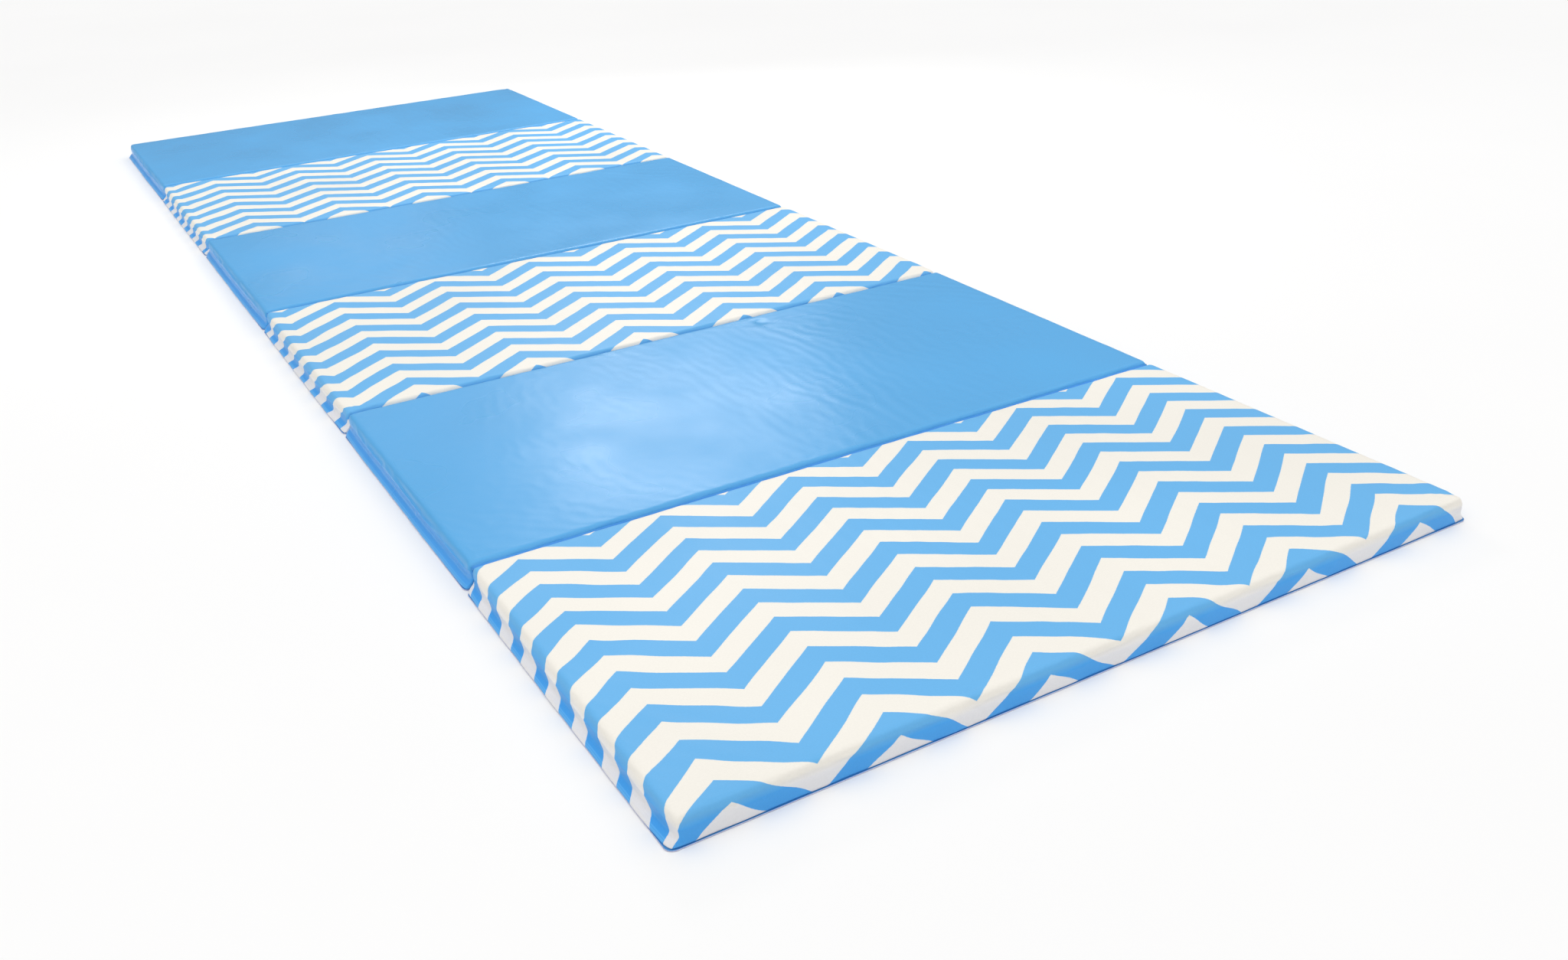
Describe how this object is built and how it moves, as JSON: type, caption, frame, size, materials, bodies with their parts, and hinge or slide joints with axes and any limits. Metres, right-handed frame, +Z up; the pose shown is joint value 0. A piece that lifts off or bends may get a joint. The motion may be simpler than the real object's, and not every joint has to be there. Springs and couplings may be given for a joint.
{
  "type": "folding gym mat",
  "caption": "Padded folding exercise mat: wide vinyl-covered foam panels, alternately chevron-printed and plain, joined by fabric hinges that fold it into a flat stack.",
  "frame": {"origin": "centre of the mat's underside, on the floor", "axes": "+Z up, +Y along the mat from panel 1 to panel 6, X across it with the zips on the +X side"},
  "size_m": [1.2192, 3.6546, 0.038],
  "materials": {
    "chevron_vinyl": "satin",
    "blue_vinyl": "gloss",
    "underside_vinyl": "satin",
    "hinge_vinyl": "satin",
    "foam": "matte",
    "zip_tape": "matte",
    "zip_coil": "satin",
    "zip_metal": "satin"
  },
  "bodies": {
    "panel_1": {"foam_core_1": "foam", "cover_1": "chevron_vinyl", "underside_1": "underside_vinyl", "zip_tape_1": "zip_tape", "zip_coil_1": "zip_coil", "zip_stops_1": "zip_metal", "hinge_1_2": "hinge_vinyl"},
    "panel_2": {"foam_core_2": "foam", "cover_2": "blue_vinyl", "underside_2": "underside_vinyl", "zip_tape_2": "zip_tape", "zip_coil_2": "zip_coil", "zip_stops_2": "zip_metal", "hinge_2_3": "hinge_vinyl"},
    "panel_3": {"foam_core_3": "foam", "cover_3": "chevron_vinyl", "underside_3": "underside_vinyl", "zip_tape_3": "zip_tape", "zip_coil_3": "zip_coil", "zip_stops_3": "zip_metal", "hinge_3_4": "hinge_vinyl"},
    "panel_4": {"foam_core_4": "foam", "cover_4": "blue_vinyl", "underside_4": "underside_vinyl", "zip_tape_4": "zip_tape", "zip_coil_4": "zip_coil", "zip_stops_4": "zip_metal", "hinge_4_5": "hinge_vinyl"},
    "panel_5": {"foam_core_5": "foam", "cover_5": "chevron_vinyl", "underside_5": "underside_vinyl", "zip_tape_5": "zip_tape", "zip_coil_5": "zip_coil", "zip_stops_5": "zip_metal", "hinge_5_6": "hinge_vinyl"},
    "panel_6": {"foam_core_6": "foam", "cover_6": "blue_vinyl", "underside_6": "underside_vinyl", "zip_tape_6": "zip_tape", "zip_coil_6": "zip_coil", "zip_stops_6": "zip_metal"},
    "slider_1": {"zip_slider_1": "zip_metal"},
    "slider_2": {"zip_slider_2": "zip_metal"},
    "slider_3": {"zip_slider_3": "zip_metal"},
    "slider_4": {"zip_slider_4": "zip_metal"},
    "slider_5": {"zip_slider_5": "zip_metal"},
    "slider_6": {"zip_slider_6": "zip_metal"}
  },
  "joints": [
    {"name": "fold_1_2", "type": "hinge", "parent": "panel_1", "child": "panel_2", "pos_m": [0, -1.2192, 0.039], "axis": [1, 0, 0], "range_deg": [0, 179.9]},
    {"name": "fold_2_3", "type": "hinge", "parent": "panel_2", "child": "panel_3", "pos_m": [0, -0.6096, -0.001], "axis": [-1, 0, 0], "range_deg": [0, 179.9]},
    {"name": "fold_3_4", "type": "hinge", "parent": "panel_3", "child": "panel_4", "pos_m": [0, 0, 0.039], "axis": [1, 0, 0], "range_deg": [0, 179.9]},
    {"name": "fold_4_5", "type": "hinge", "parent": "panel_4", "child": "panel_5", "pos_m": [0, 0.6096, -0.001], "axis": [-1, 0, 0], "range_deg": [0, 179.9]},
    {"name": "fold_5_6", "type": "hinge", "parent": "panel_5", "child": "panel_6", "pos_m": [0, 1.2192, 0.039], "axis": [1, 0, 0], "range_deg": [0, 179.9]},
    {"name": "zip_1", "type": "slide", "parent": "panel_1", "child": "slider_1", "axis": [0, 1, 0], "range_m": [0, 0.5154]},
    {"name": "zip_2", "type": "slide", "parent": "panel_2", "child": "slider_2", "axis": [0, 1, 0], "range_m": [0, 0.5154]},
    {"name": "zip_3", "type": "slide", "parent": "panel_3", "child": "slider_3", "axis": [0, 1, 0], "range_m": [0, 0.5154]},
    {"name": "zip_4", "type": "slide", "parent": "panel_4", "child": "slider_4", "axis": [0, 1, 0], "range_m": [0, 0.5154]},
    {"name": "zip_5", "type": "slide", "parent": "panel_5", "child": "slider_5", "axis": [0, 1, 0], "range_m": [0, 0.5154]},
    {"name": "zip_6", "type": "slide", "parent": "panel_6", "child": "slider_6", "axis": [0, 1, 0], "range_m": [0, 0.5154]}
  ]
}
